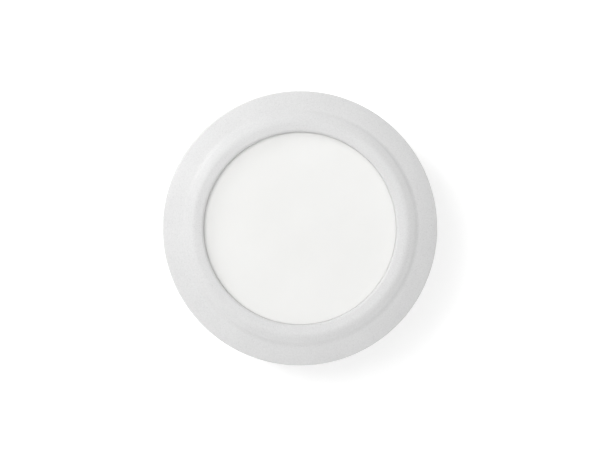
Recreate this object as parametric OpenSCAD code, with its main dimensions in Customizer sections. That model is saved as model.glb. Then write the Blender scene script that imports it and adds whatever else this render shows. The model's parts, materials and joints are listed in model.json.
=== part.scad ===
// Round wall thermostat: a base that is screwed to the wall, and a head that pulls off it.
// The head carries a turning ring, and a lens in its middle that is pressed to select.
// Everything is drawn lying on its back, with z = 0 on the wall and the front towards +z.
// hang() then stands it up, so in the finished part the wall is y = 0 and the front faces -y.

/* [Overall] */
// Diameter over the turning ring
dial_d = 82; // [81:0.5:84]
// How far the lens sits below the crest of the ring
lens_recess = 2.1; // [1.5:0.1:2.4]
// Height of the base's front above the wall
base_h = 11; // [11:0.25:13]

/* [Front ring] */
// Radius of the part of the lens that shows
lens_r = 28.45; // [28.3:0.05:28.6]
// Gap between that part and the ring's lip
lens_gap = 0.15; // [0.1:0.05:0.25]
// Radius of the ring's crest
crest_r = 31.35; // [31.2:0.05:31.5]
// Radius at which the bead's outer side starts to steepen
shoulder_r = 33.75; // [33.5:0.05:33.9]
// Slope of the bead's outer side in degrees
bead_slope = 25; // [22:1:28]
// Steepest slope at the bead's foot in degrees
foot_slope = 45; // [38:1:48]
// Slope of the flange where it leaves the crease, in degrees
flange_slope = 15; // [12:1:17]
// Slope of the bead's inner side in degrees
inner_slope = 6; // [4:1:8]

/* [Wall fixing] */
// Distance between the two wall screws
screw_spacing = 55; // [52:0.5:56]
// Diameter of each wall screw hole
screw_hole_d = 4.5; // [3.5:0.1:5]
// Diameter of the hole that the wires come through
cable_hole_d = 16; // [12:0.5:18]

/* [Hidden] */
$fn = 96;
cut = 1; // how far a cutting tool runs past the face that it cuts

// Colours
ring_grey = [0.84, 0.84, 0.83];
lens_white = [0.96, 0.96, 0.95];
shell_white = [0.90, 0.90, 0.89];
inner_grey = [0.30, 0.31, 0.33];
board_green = [0.10, 0.36, 0.24];
chip_black = [0.10, 0.10, 0.11];
steel = [0.72, 0.73, 0.75];
brass = [0.80, 0.66, 0.34];

// Levels above the wall, from the back to the front
plate_t = 2;
base_board_z = plate_t + 1.2;
base_board_top = base_board_z + 1.6;
cover_z = base_h - 1.5;
floor_z = base_h + 1.7;
cabin_z = floor_z + 1.5;
retainer_z = cabin_z + 0.7;
sleeve_z = retainer_z + 1.2;
journal_z = sleeve_z + 0.15;
main_z = cabin_z + 3.5;
main_top = main_z + 1;
carrier_z = main_top + 1.8;
lip_z = carrier_z + 1.2;
chassis_top = lip_z + 0.8;
glide_top = chassis_top + 0.4;
glide_face_z = glide_top + 0.1;
lens_z = carrier_z + 3.4;
lens_step_z = lens_z + 0.7;
lens_front = lens_z + 1.6;
crest_z = lens_front + lens_recess;

// Radii
dial_r = dial_d / 2;
dial_wall = 1.6;
base_r = dial_r - 4.6;
recess_r = base_r + 0.5;
skirt_t = 1.4;
spigot_r = dial_r - 2.1;
lip_r = lens_r + lens_gap;
lens_foot_r = lip_r + 0.45;
cabin_r = 28.6;
journal_r = 31.93;
sleeve_r = 32;
sleeve_outer_r = 33.2;
retainer_r = 36.2;
carrier_r = 28.3;
display_r = 24.4;
main_board_r = 28.2;

// Places, as [x, y] or as angles around the axis
screw_at = [0, screw_spacing / 2];
wire_well = [24, 21];
terminal_pitch = 7;
terminal_x = 13;
terminal_w = 15;
stem_x = 20.5;
stem_size = [5, 3.2];
plug_at = [0, -17.5];
plug_size = [14.4, 5.6];
pin_pitch = 2.54;
level_y = 17.5;
bush_at = [[-13, -25.5], [13, 25.5]];
base_screw_at = [[-24, -19], [24, -19], [-24, 19], [24, 19]];
chassis_screw_angles = [45, 135, 225, 315];
chassis_screw_r = 26.4;
board_screw_angles = [90, 210, 330];
board_screw_r = 26;
spring_angles = [30, 150, 270];
spring_r = 26.4;
retainer_screw_r = 34.4;
retainer_screw_count = 6;
sensor_window = [6.4, 1.7];

// Fasteners and small parts
screw_r = 0.8;
pilot_r = 0.85;
spring_coil_r = 1.2;
spring_wire_r = 0.15;
spring_turns = 3;
wire_sides = 8;
steps_per_turn = 16;

function on_arc(centre, radius, angle) =
    [centre.x + radius * cos(angle), centre.y + radius * sin(angle)];
function arc(centre, radius, first, last, steps = 8) =
    [for (i = [0:steps]) on_arc(centre, radius, first + (last - first) * i / steps)];
function polar(radius, angle) = [radius * cos(angle), radius * sin(angle)];

module hang() {
    rotate([90, 0, 0]) children();
}

// A round ring between two radii and two levels
module tube(inner, outer, low, high) {
    rotate_extrude() translate([inner, low]) square([outer - inner, high - low]);
}

// A box centred on a place, between two levels
module slab(at, size, low, high) {
    translate([at.x - size.x / 2, at.y - size.y / 2, low]) cube([size.x, size.y, high - low]);
}

// An upright round rod at a place, between two levels
module peg(at, radius, low, high) {
    translate([at.x, at.y, low]) cylinder(r = radius, h = high - low);
}

// A countersunk screw whose head faces -z, with the head's face at level low
module flat_screw(at, low, length) {
    translate([at.x, at.y, low]) {
        cylinder(r1 = 1.5, r2 = screw_r, h = 0.8);
        cylinder(r = screw_r, h = length);
    }
}

// The hole that such a screw needs in the piece that it holds
module flat_screw_hole(at, low, high) {
    translate([at.x, at.y, low]) cylinder(r1 = 1.6, r2 = 0.9, h = 0.8);
    peg(at, 1, low - cut, high + cut);
}

// A pan head screw whose head sits on level seat, with its thread below it
module pan_screw(at, seat, thread) {
    peg(at, 1.4, seat, seat + 0.7);
    peg(at, screw_r, seat - thread, seat + 0.1);
}

// ---- Base ----

module wall_plate() {
    color(shell_white) hang() difference() {
        union() {
            cylinder(r = base_r, h = plate_t);
            tube(base_r - 4, base_r - 2.6, plate_t, base_board_z);
            for (at = base_screw_at) peg(at, 2.4, 0, base_board_z);
            for (side = [-1, 1]) tube_at(side * screw_at, 4.5, 5.6, plate_t, cover_z);
            for (side = [-1, 1]) slab([side * 7.3, level_y], [1.6, 6], 0, level_axis_z());
            tube(cable_hole_d / 2, cable_hole_d / 2 + 1, plate_t, base_board_z);
        }
        peg([0, 0], cable_hole_d / 2, -cut, base_board_z + cut);
        for (side = [-1, 1]) peg(side * screw_at, screw_hole_d / 2, -cut, plate_t + cut);
        for (at = base_screw_at) peg(at, pilot_r, 0.6, base_board_z + cut);
        translate([-9, level_y, level_axis_z()]) rotate([0, 90, 0]) cylinder(r = 2.22, h = 18);
    }
}

module tube_at(at, inner, outer, low, high) {
    translate([at.x, at.y, 0]) tube(inner, outer, low, high);
}

function level_axis_z() = base_board_top + 2.2;

module base_cover() {
    color(shell_white) hang() difference() {
        rotate_extrude() polygon(concat(
            [[0, cover_z], [base_r - 2, cover_z], [base_r - 2, plate_t], [base_r, plate_t]],
            arc([base_r - 1.2, base_h - 1.2], 1.2, 0, 90),
            [[0, base_h]]
        ));
        slab([0, 0], wire_well, cover_z - cut, base_h + cut);
        for (side = [-1, 1]) peg(side * screw_at, 4.5, cover_z - cut, base_h + cut);
        slab([0, level_y], [12, 4.4], cover_z - cut, base_h + cut);
        slab(plug_at, plug_size + [0.6, 0.6], cover_z - cut, base_h + cut);
        for (at = bush_at) peg(at, 3.3, cover_z - cut, base_h + cut);
        for (side = [-1, 1], row = [-1:1])
            slab(stem_place(side, row), stem_size + [0.6, 0.6], cover_z - cut, base_h + cut);
    }
}

function stem_place(side, row) = [side * (stem_x + stem_size.x / 2), row * terminal_pitch];

module base_circuit_board() {
    color(board_green) hang() difference() {
        peg([0, 0], base_r - 2.4, base_board_z, base_board_top);
        slab([0, 0], wire_well + [0.8, 0.8], base_board_z - cut, base_board_top + cut);
        for (side = [-1, 1]) {
            peg(side * screw_at, 6, base_board_z - cut, base_board_top + cut);
            slab(side * (screw_at + [0, 5]), [12, 10], base_board_z - cut, base_board_top + cut);
        }
        slab([0, level_y + 0.5], [17.4, 9], base_board_z - cut, base_board_top + cut);
        for (at = bush_at) peg(at, 3.4, base_board_z - cut, base_board_top + cut);
        for (at = base_screw_at) peg(at, 1, base_board_z - cut, base_board_top + cut);
    }
}

module base_board_screws() {
    color(steel) hang() for (at = base_screw_at) pan_screw(at, base_board_top, 3.8);
}

// Three wire housings in a row: side is -1 for the left and 1 for the right
module terminal_block(side) {
    color(inner_grey) hang() difference() {
        slab([side * (terminal_x + terminal_w / 2), 0], [terminal_w, 22.4], base_board_top, cover_z - 0.1);
        for (row = [-1:1]) {
            translate([side * (terminal_x - cut), row * terminal_pitch, 7.4])
                rotate([0, side * 90, 0]) cylinder(r = 1.2, h = 4);
            slab([side * 21.2, row * terminal_pitch], [11.6, 4.6], base_board_top + 0.8, cover_z + cut);
        }
    }
}

module terminal_block_left() {
    terminal_block(-1);
}

module terminal_block_right() {
    terminal_block(1);
}

// A brass cage for one wire: a floor strip and an upright loop that the wire passes through
module terminal_clamp(side, row) {
    low = base_board_top + 0.8;
    slab([side * 21.2, row * terminal_pitch], [11, 3.8], low, low + 0.4);
    difference() {
        slab([side * 17.3, row * terminal_pitch], [1.8, 3.8], low, low + 3.4);
        slab([side * 17.3, row * terminal_pitch], [1.8 + cut, 2.8], low + 0.4, low + 3);
    }
}

module terminal_clamps() {
    color(brass) hang() for (side = [-1, 1], row = [-1:1]) terminal_clamp(side, row);
}

// A push tab: a wide foot that stays under the cover, and a stem that stands out of it
module release_tab(side, row) {
    at = stem_place(side, row);
    color([0.86, 0.42, 0.16]) hang() {
        slab(at, stem_size + [1.6, 0.9], cover_z - 2.2, cover_z - 0.3);
        slab(at, stem_size, cover_z - 0.3, base_h + 1);
    }
}

module release_tab_1() {
    release_tab(-1, 1);
}

module release_tab_2() {
    release_tab(-1, 0);
}

module release_tab_3() {
    release_tab(-1, -1);
}

module release_tab_4() {
    release_tab(1, 1);
}

module release_tab_5() {
    release_tab(1, 0);
}

module release_tab_6() {
    release_tab(1, -1);
}

// The ten places of the plug's pins
pin_places = [
    for (column = [-2:2], row = [-0.5, 0.5])
        plug_at + [column * pin_pitch, row * pin_pitch]
];

module base_socket() {
    color(chip_black) hang() difference() {
        slab(plug_at, plug_size, base_board_top, base_h - 0.3);
        for (at = pin_places) peg(at, 0.7, base_board_top + 0.8, base_h);
    }
}

module socket_contacts() {
    color(brass) hang() for (at = pin_places) tube_at(at, 0.45, 0.7, base_board_top + 0.8, base_h - 0.6);
}

module guide_bushes() {
    color(inner_grey) hang() for (at = bush_at) difference() {
        tube_at(at, 2.07, 3.1, plate_t, base_h - 0.1);
        slab(at, [0.6, 8], plate_t + 2.5, base_h);
        slab(at, [8, 0.6], plate_t + 2.5, base_h);
    }
}

module level_vial() {
    color([0.80, 0.90, 0.80]) hang() translate([-8, level_y, level_axis_z()]) rotate([0, 90, 0])
        difference() {
            cylinder(r = 2.2, h = 16);
            translate([0, 0, -cut]) cylinder(r = 1.7, h = 16 + 2 * cut);
        }
}

// The liquid, with the bubble resting at the top of the vial
module level_fluid() {
    color([0.55, 0.85, 0.25]) hang() difference() {
        translate([-7.6, level_y, level_axis_z()]) rotate([0, 90, 0]) cylinder(r = 1.7, h = 15.2);
        translate([0, level_y + 1.9, level_axis_z()]) sphere(r = 1.8);
    }
}

// ---- Head ----

module rear_housing() {
    shoulder_z = floor_z - 0.6;
    color(shell_white) hang() difference() {
        rotate_extrude() polygon(concat(
            [[0, cabin_z], [0, floor_z], [recess_r, floor_z], [recess_r, 3]],
            [[recess_r + skirt_t, 3]],
            arc([dial_r - 2.4, shoulder_z - 2], 2, -20, 0),
            [[dial_r - 0.4, shoulder_z], [spigot_r, shoulder_z], [spigot_r, cabin_z + 0.9]],
            [[spigot_r - 1.4, cabin_z + 0.9], [spigot_r - 1.4, cabin_z]]
        ));
        slab(plug_at, plug_size + [0.4, 0.4], floor_z - cut, cabin_z + cut);
        for (angle = chassis_screw_angles)
            flat_screw_hole(polar(chassis_screw_r, angle), floor_z, cabin_z);
        for (at = bush_at) peg(at, 1.2, floor_z - cut, cabin_z + cut);
        for (column = [-1:1], row = [-1:1])
            peg([17 + column * 1.8, -7 + row * 1.8], 0.5, floor_z - cut, cabin_z + cut);
        for (side = [90, 270], i = [-3:3])
            rotate([0, 0, side + i * 8]) translate([recess_r - cut, -1.9, base_h - 1.4]) cube([8, 3.8, 1.1]);
    }
}

module guide_posts() {
    color(shell_white) hang() for (at = bush_at) {
        peg(at, 1.2, floor_z, cabin_z);
        peg(at, 2, plate_t + 3.4, floor_z);
        translate([at.x, at.y, plate_t + 2.6]) cylinder(r1 = 1.3, r2 = 2, h = 0.8);
    }
}

module chassis() {
    color(inner_grey) hang() difference() {
        union() {
            rotate_extrude() polygon([
                [cabin_r, cabin_z], [30.2, cabin_z], [30.2, journal_z], [journal_r, journal_z],
                [journal_r, chassis_top], [27, chassis_top], [27, lip_z], [cabin_r, lip_z]
            ]);
            for (angle = chassis_screw_angles)
                peg(polar(chassis_screw_r, angle), 2.5, cabin_z, main_z);
            for (angle = board_screw_angles)
                rotate([0, 0, angle]) slab([26.4, 0], [4.8, 4.4], cabin_z, main_z);
        }
        for (angle = chassis_screw_angles)
            peg(polar(chassis_screw_r, angle), pilot_r, cabin_z - cut, main_z - 0.6);
        for (angle = board_screw_angles)
            peg(polar(board_screw_r, angle), pilot_r, cabin_z + 0.6, main_z + cut);
        slab([-30, 0], [8, sensor_window.x], main_top - 0.3, main_top + sensor_window.y);
    }
}

module chassis_screws() {
    color(steel) hang() for (angle = chassis_screw_angles)
        flat_screw(polar(chassis_screw_r, angle), floor_z, 4.2);
}

module main_circuit_board() {
    color(board_green) hang() difference() {
        peg([0, 0], main_board_r, main_z, main_top);
        for (angle = board_screw_angles)
            peg(polar(board_screw_r, angle), 1, main_z - cut, main_top + cut);
    }
}

module board_screws() {
    color(steel) hang() for (angle = board_screw_angles)
        pan_screw(polar(board_screw_r, angle), main_top, 3.6);
}

module board_chips() {
    color(chip_black) hang() {
        slab([-10, 6], [8, 8], main_top, main_top + 0.9);
        slab([1, 8], [6, 8], main_top, main_top + 0.9);
        slab([11, 5], [5, 5], main_top, main_top + 0.8);
        slab([12, -7], [4, 4], main_top, main_top + 0.8);
        slab([-12, -8], [4, 5], main_top, main_top + 0.7);
    }
}

module radio_shield() {
    color(steel) hang() difference() {
        slab([0, -4.5], [20, 12], main_z - 2.2, main_z);
        slab([0, -4.5], [19.4, 11.4], main_z - 1.9, main_z + cut);
    }
}

module battery() {
    color([0.55, 0.60, 0.66]) hang() hull() for (x = [-12.4, 12.4], y = [4.6, 20.4])
        translate([x, y, cabin_z + 0.1]) cylinder(r = 1.6, h = 3.1, $fn = 32);
}

module battery_tabs() {
    color(steel) hang() for (x = [-5, 5]) {
        slab([x, 23], [3, 2], cabin_z + 2, cabin_z + 2.2);
        slab([x, 23.9], [3, 0.2], cabin_z + 2.2, main_z);
    }
}

module head_plug() {
    color(chip_black) hang() difference() {
        slab(plug_at, plug_size, floor_z, main_z);
        for (at = pin_places) peg(at, 0.32, floor_z - cut, main_z + cut);
    }
}

module plug_pins() {
    color(brass) hang() for (at = pin_places) peg(at, 0.32, base_board_top + 2.2, main_z);
}

module ring_sensor() {
    color(chip_black) hang() slab([-28, 0], [6.8, 5.2], main_top, main_top + 1);
}

module climate_sensor() {
    color(chip_black) hang() difference() {
        slab([17, -7], [3, 3], main_z - 1, main_z);
        peg([17, -7], 0.5, main_z - 1 - cut, main_z - 0.5);
    }
}

module sounder() {
    color(chip_black) hang() difference() {
        peg([-15, -7], 4, main_z - 2.6, main_z);
        peg([-15, -7], 0.7, main_z - 2.6 - cut, main_z - 1.6);
    }
}

module press_switch() {
    color(steel) hang() difference() {
        slab([0, 0], [6, 6], main_top, main_top + 1.3);
        peg([0, 0], 1.7, main_top + 0.2, main_top + 1.3 + cut);
    }
}

module switch_plunger() {
    color(chip_black) hang() peg([0, 0], 1.6, main_top + 0.8, carrier_z - 0.05);
}

module ribbon_connector() {
    color(lens_white) hang() difference() {
        slab([0, -20.5], [12, 3], main_top, main_top + 1.1);
        slab([0, -20.5], [10.6, 0.5], main_top - cut, main_top + 1.1 + cut);
    }
}

module glide_ring() {
    color(lens_white) hang() tube(29.8, 31.8, chassis_top, glide_top);
}

// ---- Turning ring ----

// The ring's section: round the lip, up to the crest, down the bead, through the crease,
// and over the slightly domed flange to the rim
lip_round = 0.9;
crest_round = 3.4;
shoulder_round = 2.6;
crease_round = 2.4;
flange_round = 32;
rim_round = 1.0;
flange_t = 1.7;

crest_centre = [crest_r, crest_z - crest_round];
crest_start = on_arc(crest_centre, crest_round, 90 + inner_slope);
crest_end = on_arc(crest_centre, crest_round, 90 - bead_slope);
lip_end_r = lip_r + lip_round * (1 - sin(inner_slope));
lip_end_z = crest_start.y - (crest_start.x - lip_end_r) * tan(inner_slope);
lip_centre = [lip_r + lip_round, lip_end_z - lip_round * cos(inner_slope)];
shoulder = [shoulder_r, crest_end.y - (shoulder_r - crest_end.x) * tan(bead_slope)];
shoulder_centre = on_arc(shoulder, shoulder_round, 270 - bead_slope);
foot = on_arc(shoulder_centre, shoulder_round, 90 - foot_slope);
crease_centre = on_arc(foot, crease_round, 90 - foot_slope);
flange_start = on_arc(crease_centre, crease_round, 270 - flange_slope);
flange_centre = on_arc(flange_start, flange_round, 270 - flange_slope);
rim_slope = asin((dial_r - rim_round - flange_centre.x) / (flange_round - rim_round));
rim_centre = on_arc(flange_centre, flange_round - rim_round, 90 - rim_slope);

module dial_ring() {
    inner_wall_r = dial_r - dial_wall;
    pocket_r = lens_foot_r + 0.3;
    lip_back_z = lens_step_z + 0.25;
    section = concat(
        [[pocket_r, glide_face_z], [pocket_r, lip_back_z], [lip_r, lip_back_z]],
        arc(lip_centre, lip_round, 180, 90 + inner_slope),
        arc(crest_centre, crest_round, 90 + inner_slope, 90 - bead_slope, 6),
        arc(shoulder_centre, shoulder_round, 90 - bead_slope, 90 - foot_slope, 5),
        arc(crease_centre, crease_round, 270 - foot_slope, 270 - flange_slope, 6),
        [for (i = [1:6]) on_arc(flange_centre, flange_round,
            90 - flange_slope - (rim_slope - flange_slope) * i / 6)],
        [for (i = [1:8]) on_arc(rim_centre, rim_round, (90 - rim_slope) * (1 - i / 8))],
        [[dial_r, floor_z], [inner_wall_r, floor_z], [inner_wall_r, rim_centre.y - 1]],
        [[foot.x, flange_start.y - flange_t], [sleeve_outer_r, flange_start.y - flange_t]],
        [[sleeve_outer_r, sleeve_z], [sleeve_r, sleeve_z], [sleeve_r, glide_face_z]]
    );
    color(ring_grey) hang() difference() {
        union() {
            rotate_extrude() polygon(section);
            for (i = [1:retainer_screw_count])
                peg(polar(retainer_screw_r, i * 60), 1.7, sleeve_z, flange_start.y - 1);
        }
        for (i = [1:retainer_screw_count])
            peg(polar(retainer_screw_r, i * 60), pilot_r, sleeve_z - cut, sleeve_z + 5);
        tube(sleeve_r - cut, sleeve_r + 0.3, main_top - 0.6, main_top + 1.6);
    }
}

module ring_retainer() {
    color(inner_grey) hang() difference() {
        tube(30.6, retainer_r, retainer_z, sleeve_z);
        for (i = [1:retainer_screw_count])
            flat_screw_hole(polar(retainer_screw_r, i * 60), retainer_z, sleeve_z);
    }
}

module retainer_screws() {
    color(steel) hang() for (i = [1:retainer_screw_count])
        flat_screw(polar(retainer_screw_r, i * 60), retainer_z, 5);
}

// The thin band with windows that the sensor counts as the ring turns
module code_band() {
    windows = 60;
    color(steel) hang() difference() {
        tube(sleeve_r + 0.1, sleeve_r + 0.3, main_top - 0.6, main_top + 1.6);
        for (i = [1:windows])
            rotate([0, 0, i * 360 / windows])
                translate([sleeve_r - cut, -0.8, main_top - 0.1]) cube([3, 1.6, 1.2]);
    }
}

// ---- Lens and display ----

module lens() {
    color(lens_white) hang() rotate_extrude() polygon(concat(
        [[0, lens_z], [lens_foot_r, lens_z], [lens_foot_r, lens_step_z], [lens_r, lens_step_z]],
        arc([lens_r - 0.4, lens_front - 0.4], 0.4, 0, 90, 4),
        [[0, lens_front]]
    ));
}

module lens_carrier() {
    color(inner_grey) hang() difference() {
        rotate_extrude() polygon([
            [0, carrier_z], [carrier_r, carrier_z], [carrier_r, carrier_z + 0.9], [26.7, carrier_z + 0.9],
            [26.7, lens_z], [display_r + 0.1, lens_z], [display_r + 0.1, carrier_z + 0.7], [0, carrier_z + 0.7]
        ]);
        for (i = [0:5])
            rotate([0, 0, 30 + i * 60]) translate([14, 0, carrier_z - cut]) cylinder(r = 5, h = 4);
        slab([0, -20.5], [11.4, 2], carrier_z - cut, carrier_z + 0.7 + cut);
    }
}

module display_frame() {
    color(steel) hang() difference() {
        peg([0, 0], display_r, carrier_z + 0.7, lens_z - 0.1);
        peg([0, 0], display_r - 0.4, carrier_z + 1, lens_z);
        slab([0, -20.5], [11.4, 2], carrier_z, carrier_z + 1 + cut);
    }
}

module light_guide() {
    color([0.92, 0.95, 0.97]) hang() peg([0, 0], 23.8, carrier_z + 1.1, carrier_z + 2);
}

module display_panel() {
    color([0.12, 0.13, 0.15]) hang() peg([0, 0], 23.8, carrier_z + 2.1, lens_z - 0.1);
}

module display_ribbon() {
    color([0.72, 0.46, 0.16]) hang() slab([0, -20.5], [10, 0.2], main_top + 0.7, carrier_z + 1.1);
}

// A point on the wire of a coil that stands on level low
function coil_point(turn, side, low, height) =
    let (
        around = turn * 360,
        across = side * 360 / wire_sides,
        radius = spring_coil_r + spring_wire_r * cos(across)
    )
    [
        radius * cos(around),
        radius * sin(around),
        low + spring_wire_r + (height - 2 * spring_wire_r) * turn / spring_turns
            + spring_wire_r * sin(across)
    ];

module coil(low, height) {
    rings = spring_turns * steps_per_turn;
    points = [
        for (i = [0:rings], side = [0:wire_sides - 1])
            coil_point(i / steps_per_turn, side, low, height)
    ];
    walls = [
        for (i = [0:rings - 1], side = [0:wire_sides - 1])
            let (next = (side + 1) % wire_sides, here = i * wire_sides, there = here + wire_sides)
            [here + side, there + side, there + next, here + next]
    ];
    first_end = [for (side = [0:wire_sides - 1]) side];
    last_end = [for (side = [wire_sides - 1:-1:0]) rings * wire_sides + side];
    polyhedron(points = points, faces = concat(walls, [first_end, last_end]));
}

module return_springs() {
    color(steel) hang() for (angle = spring_angles)
        translate(concat(polar(spring_r, angle), 0)) coil(main_top, carrier_z - main_top);
}

wall_plate();
base_cover();
base_circuit_board();
base_board_screws();
terminal_block_left();
terminal_block_right();
terminal_clamps();
release_tab_1();
release_tab_2();
release_tab_3();
release_tab_4();
release_tab_5();
release_tab_6();
base_socket();
socket_contacts();
guide_bushes();
level_vial();
level_fluid();
rear_housing();
guide_posts();
chassis();
chassis_screws();
main_circuit_board();
board_screws();
board_chips();
radio_shield();
battery();
battery_tabs();
head_plug();
plug_pins();
ring_sensor();
climate_sensor();
sounder();
press_switch();
switch_plunger();
ribbon_connector();
glide_ring();
dial_ring();
ring_retainer();
retainer_screws();
code_band();
lens();
lens_carrier();
display_frame();
light_guide();
display_panel();
display_ribbon();
return_springs();
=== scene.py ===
"""Looks of the round wall thermostat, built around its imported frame.

The front faces -Y and the wall is the plane y = 0, so a level "above the wall" is -y.
"""
import json
import math

import bmesh
import bpy
from mathutils import Matrix, Vector


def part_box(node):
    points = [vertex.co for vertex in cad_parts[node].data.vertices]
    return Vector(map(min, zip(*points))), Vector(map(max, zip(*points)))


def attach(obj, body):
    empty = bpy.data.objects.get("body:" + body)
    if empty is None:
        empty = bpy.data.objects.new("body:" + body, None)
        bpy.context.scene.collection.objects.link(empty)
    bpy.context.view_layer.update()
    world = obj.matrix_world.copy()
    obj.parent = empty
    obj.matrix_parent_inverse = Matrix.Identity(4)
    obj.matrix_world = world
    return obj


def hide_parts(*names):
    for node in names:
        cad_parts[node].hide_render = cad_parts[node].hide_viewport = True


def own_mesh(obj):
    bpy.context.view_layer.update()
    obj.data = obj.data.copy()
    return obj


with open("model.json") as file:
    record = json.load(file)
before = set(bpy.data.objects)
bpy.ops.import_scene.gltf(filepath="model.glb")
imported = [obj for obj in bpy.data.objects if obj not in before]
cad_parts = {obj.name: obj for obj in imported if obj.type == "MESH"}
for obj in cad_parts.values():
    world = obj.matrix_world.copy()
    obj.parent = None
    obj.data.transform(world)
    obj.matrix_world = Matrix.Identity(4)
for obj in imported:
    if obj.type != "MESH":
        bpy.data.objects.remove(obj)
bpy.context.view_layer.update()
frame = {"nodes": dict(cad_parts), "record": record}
nodes = frame["nodes"]
BODIES = frame["record"]["behaviour"]["bodies"]
BODY_OF = {node: body for body, members in BODIES.items() for node in members}
SLOT_OF = {part["node"]: part["material_slot"] for part in frame["record"]["subparts"]}

MM = 0.001
ROUND = 256  # steps around a large round piece
SAME_PLACE = 1e-7  # points closer than this, in metres, are one point
SLIVER = 0.002 * MM  # an edge shorter than this is only a boolean's leftover
PAST_FACE = 1 * MM  # how far a cutter runs past the face that it cuts


# ---------- places and sizes, read from the frame ----------

def outer_radius(node):
    """Half the width of a round node."""
    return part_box(node)[1].x


def back_level(node):
    """How far a node's back stands off the wall."""
    return -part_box(node)[1].y


def front_level(node):
    """How far a node's front stands off the wall."""
    return -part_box(node)[0].y


def middle(node):
    """The middle of a node as seen from the front, (x, z)."""
    low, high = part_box(node)
    return ((low.x + high.x) / 2, (low.z + high.z) / 2)


def size_of(node):
    """A node's width and height as seen from the front."""
    low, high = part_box(node)
    return (high.x - low.x, high.z - low.z)


def places_of_pair(node, radius):
    """The middles of two equal round pieces in one node, on opposite sides of the axis."""
    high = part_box(node)[1]
    x, z = high.x - radius, high.z - radius
    return [(-x, -z), (x, z)]


def screw_spacing():
    """The distance between the wall screws, from the record's mount."""
    mounts = {mount["name"]: mount for mount in frame["record"]["mounts"]}
    return mounts["wall_screws"]["dims"]["spacing_y_mm"] * MM


# ---------- mesh helpers ----------

def add_object(name, mesh):
    piece = bpy.data.objects.new(name, mesh)
    bpy.context.scene.collection.objects.link(piece)
    return piece


def mesh_from(bm, name):
    """Closes off a bmesh as a new object."""
    bmesh.ops.remove_doubles(bm, verts=bm.verts, dist=SAME_PLACE)
    bmesh.ops.recalc_face_normals(bm, faces=bm.faces)
    mesh = bpy.data.meshes.new(name)
    bm.to_mesh(mesh)
    bm.free()
    return add_object(name, mesh)


def apply_modifiers(piece):
    """Makes the shape that the modifiers give the piece's own mesh."""
    bpy.context.view_layer.update()
    graph = bpy.context.evaluated_depsgraph_get()
    mesh = bpy.data.meshes.new_from_object(piece.evaluated_get(graph))
    piece.modifiers.clear()
    piece.data = mesh


def smooth(piece, angle=30):
    """Smooth shading that keeps flat faces flat and edges above the angle sharp."""
    piece.data.shade_smooth()
    piece.data.set_sharp_from_angle(angle=math.radians(angle))
    piece.modifiers.new("shading", "WEIGHTED_NORMAL").keep_sharp = True
    apply_modifiers(piece)


def on_arc(centre, radius, angle):
    """A point on a circle, at an angle in degrees."""
    a = math.radians(angle)
    return (centre[0] + radius * math.cos(a), centre[1] + radius * math.sin(a))


def arc(centre, radius, first, last, steps):
    """Points (radius from the axis, level) along an arc, with angles in degrees."""
    return [on_arc(centre, radius, first + (last - first) * i / steps) for i in range(steps + 1)]


def lathe(name, outline, around=ROUND):
    """A closed outline of (radius, level) points turned about the Y axis."""
    bm = bmesh.new()
    rings = []
    for radius, level in outline:
        if radius < SAME_PLACE:
            rings.append([bm.verts.new((0, -level, 0))])
            continue
        turn = [2 * math.pi * i / around for i in range(around)]
        rings.append([bm.verts.new((radius * math.cos(a), -level, radius * math.sin(a))) for a in turn])
    for ring, following in zip(rings, rings[1:] + rings[:1]):
        for i in range(around):
            j = (i + 1) % around
            corners = [ring[i % len(ring)], ring[j % len(ring)],
                       following[j % len(following)], following[i % len(following)]]
            corners = list(dict.fromkeys(corners))
            if len(corners) > 2:
                bm.faces.new(corners)
    return mesh_from(bm, name)


def rounded(size, corner):
    """The outline of a rectangle with round corners, about its own middle."""
    steps = 6
    across, up = size[0] / 2 - corner, size[1] / 2 - corner
    points = []
    for turn, (x, z) in enumerate(((across, up), (-across, up), (-across, -up), (across, -up))):
        points += [on_arc((x, z), corner, 90 * turn + 90 * i / steps) for i in range(steps + 1)]
    return points


def loft(name, at, sections):
    """A solid through outlines of equal length, each at its own level, closed by flat ends."""
    bm = bmesh.new()
    rings = [
        [bm.verts.new((at[0] + x, -level, at[1] + z)) for x, z in outline]
        for outline, level in sections
    ]
    count = len(rings[0])
    for ring, following in zip(rings, rings[1:]):
        for i in range(count):
            j = (i + 1) % count
            bm.faces.new((ring[i], ring[j], following[j], following[i]))
    bm.faces.new(rings[0])
    bm.faces.new(rings[-1])
    return mesh_from(bm, name)


def flared(name, at, size, corner, far, mouth, lip):
    """A block whose end at the level mouth flares by lip, or narrows where lip is negative."""
    steps = 4
    least_corner = 0.01 * MM
    side = math.copysign(1, mouth - far)
    sections = [(rounded(size, corner), far)]
    for i in range(steps + 1):
        a = math.radians(90 * i / steps)
        grow = lip * (1 - math.cos(a))
        wider = (size[0] + 2 * grow, size[1] + 2 * grow)
        level = mouth - side * abs(lip) * (1 - math.sin(a))
        sections.append((rounded(wider, max(corner + grow, least_corner)), level))
    return loft(name, at, sections)


def block(at, size, low, high, corner=0.3 * MM, soft=0.2 * MM):
    """An upright block with round corners and a soft front edge."""
    return flared("block", at, size, corner, low, high, -soft)


def opening(at, size, far, mouth, corner, lip):
    """A cutter from the level far out through the face at the level mouth, whose rim it rounds."""
    piece = flared("opening", at, size, corner, far, mouth, lip)
    beyond = math.copysign(PAST_FACE, mouth - far)
    for vertex in piece.data.vertices:
        if abs(-vertex.co.y - mouth) < SAME_PLACE:
            vertex.co.y -= beyond
    return piece


def hole(at, radius, far, mouth, lip=0.2 * MM):
    """A round opening."""
    return opening(at, (2 * radius, 2 * radius), far, mouth, radius, lip)


def rod(at, radius, low, high):
    """An upright round rod with a soft front edge."""
    return block(at, (2 * radius, 2 * radius), low, high, radius, 0.15 * MM)


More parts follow.
